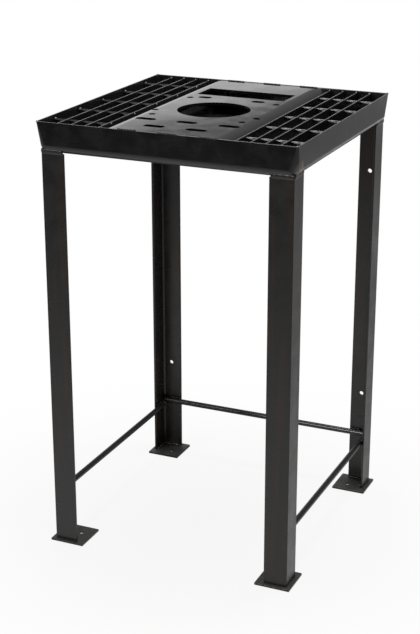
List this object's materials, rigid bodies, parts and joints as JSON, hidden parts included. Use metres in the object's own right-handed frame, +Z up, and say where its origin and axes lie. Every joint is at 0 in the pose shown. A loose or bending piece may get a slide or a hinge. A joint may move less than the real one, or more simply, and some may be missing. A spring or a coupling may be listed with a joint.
{
  "type": "oil filter crusher stand",
  "caption": "Floor stand for an oil filter press: a square drip pan on angle-iron legs, with a slotted bolting deck between lift-out bar gratings.",
  "frame": {"origin": "floor level, at the centre of the stand's footprint", "axes": "+Z up, +Y from the open front to the back stretcher, +X to the right seen from the front"},
  "size_m": [0.548, 0.555, 0.9173],
  "materials": {
    "black_paint": "semi-gloss black paint on steel",
    "deck_paint": "semi-gloss black paint, rubbed on the top edges",
    "weld_paint": "painted weld bead"
  },
  "bodies": {
    "stand": {"drip_pan": "black_paint", "drain_coupling": "black_paint", "deck_plate": "deck_paint", "leg_front_left": "black_paint", "leg_front_right": "black_paint", "leg_rear_left": "black_paint", "leg_rear_right": "black_paint", "foot_front_left": "black_paint", "foot_front_right": "black_paint", "foot_rear_left": "black_paint", "foot_rear_right": "black_paint", "ledge_front_left": "black_paint", "ledge_front_right": "black_paint", "ledge_rear_left": "black_paint", "ledge_rear_right": "black_paint", "stretcher_left": "black_paint", "stretcher_right": "black_paint", "stretcher_back": "black_paint", "deck_weld_front_1": "weld_paint", "deck_weld_front_2": "weld_paint", "deck_weld_front_3": "weld_paint", "deck_weld_back_1": "weld_paint", "deck_weld_back_2": "weld_paint", "deck_weld_back_3": "weld_paint", "leg_weld_front_left": "weld_paint", "leg_weld_front_right": "weld_paint", "leg_weld_rear_left": "weld_paint", "leg_weld_rear_right": "weld_paint", "foot_weld_front_left": "weld_paint", "foot_weld_front_right": "weld_paint", "foot_weld_rear_left": "weld_paint", "foot_weld_rear_right": "weld_paint", "stretcher_weld_left_front": "weld_paint", "stretcher_weld_left_rear": "weld_paint", "stretcher_weld_right_front": "weld_paint", "stretcher_weld_right_rear": "weld_paint", "stretcher_weld_back_left": "weld_paint", "stretcher_weld_back_right": "weld_paint"},
    "left_grating": {"left_bearing_bar_1": "deck_paint", "left_bearing_bar_2": "deck_paint", "left_bearing_bar_3": "deck_paint", "left_bearing_bar_4": "deck_paint", "left_cross_rod_1": "deck_paint", "left_cross_rod_2": "deck_paint", "left_cross_rod_3": "deck_paint", "left_cross_rod_4": "deck_paint", "left_cross_rod_5": "deck_paint"},
    "right_grating": {"right_bearing_bar_1": "deck_paint", "right_bearing_bar_2": "deck_paint", "right_bearing_bar_3": "deck_paint", "right_bearing_bar_4": "deck_paint", "right_cross_rod_1": "deck_paint", "right_cross_rod_2": "deck_paint", "right_cross_rod_3": "deck_paint", "right_cross_rod_4": "deck_paint", "right_cross_rod_5": "deck_paint"}
  },
  "joints": [
    {"name": "left_grating_lift", "type": "slide", "parent": "stand", "child": "left_grating", "axis": [0, 0, 1], "range_m": [0, 0.12]},
    {"name": "right_grating_lift", "type": "slide", "parent": "stand", "child": "right_grating", "axis": [0, 0, 1], "range_m": [0, 0.12]}
  ]
}
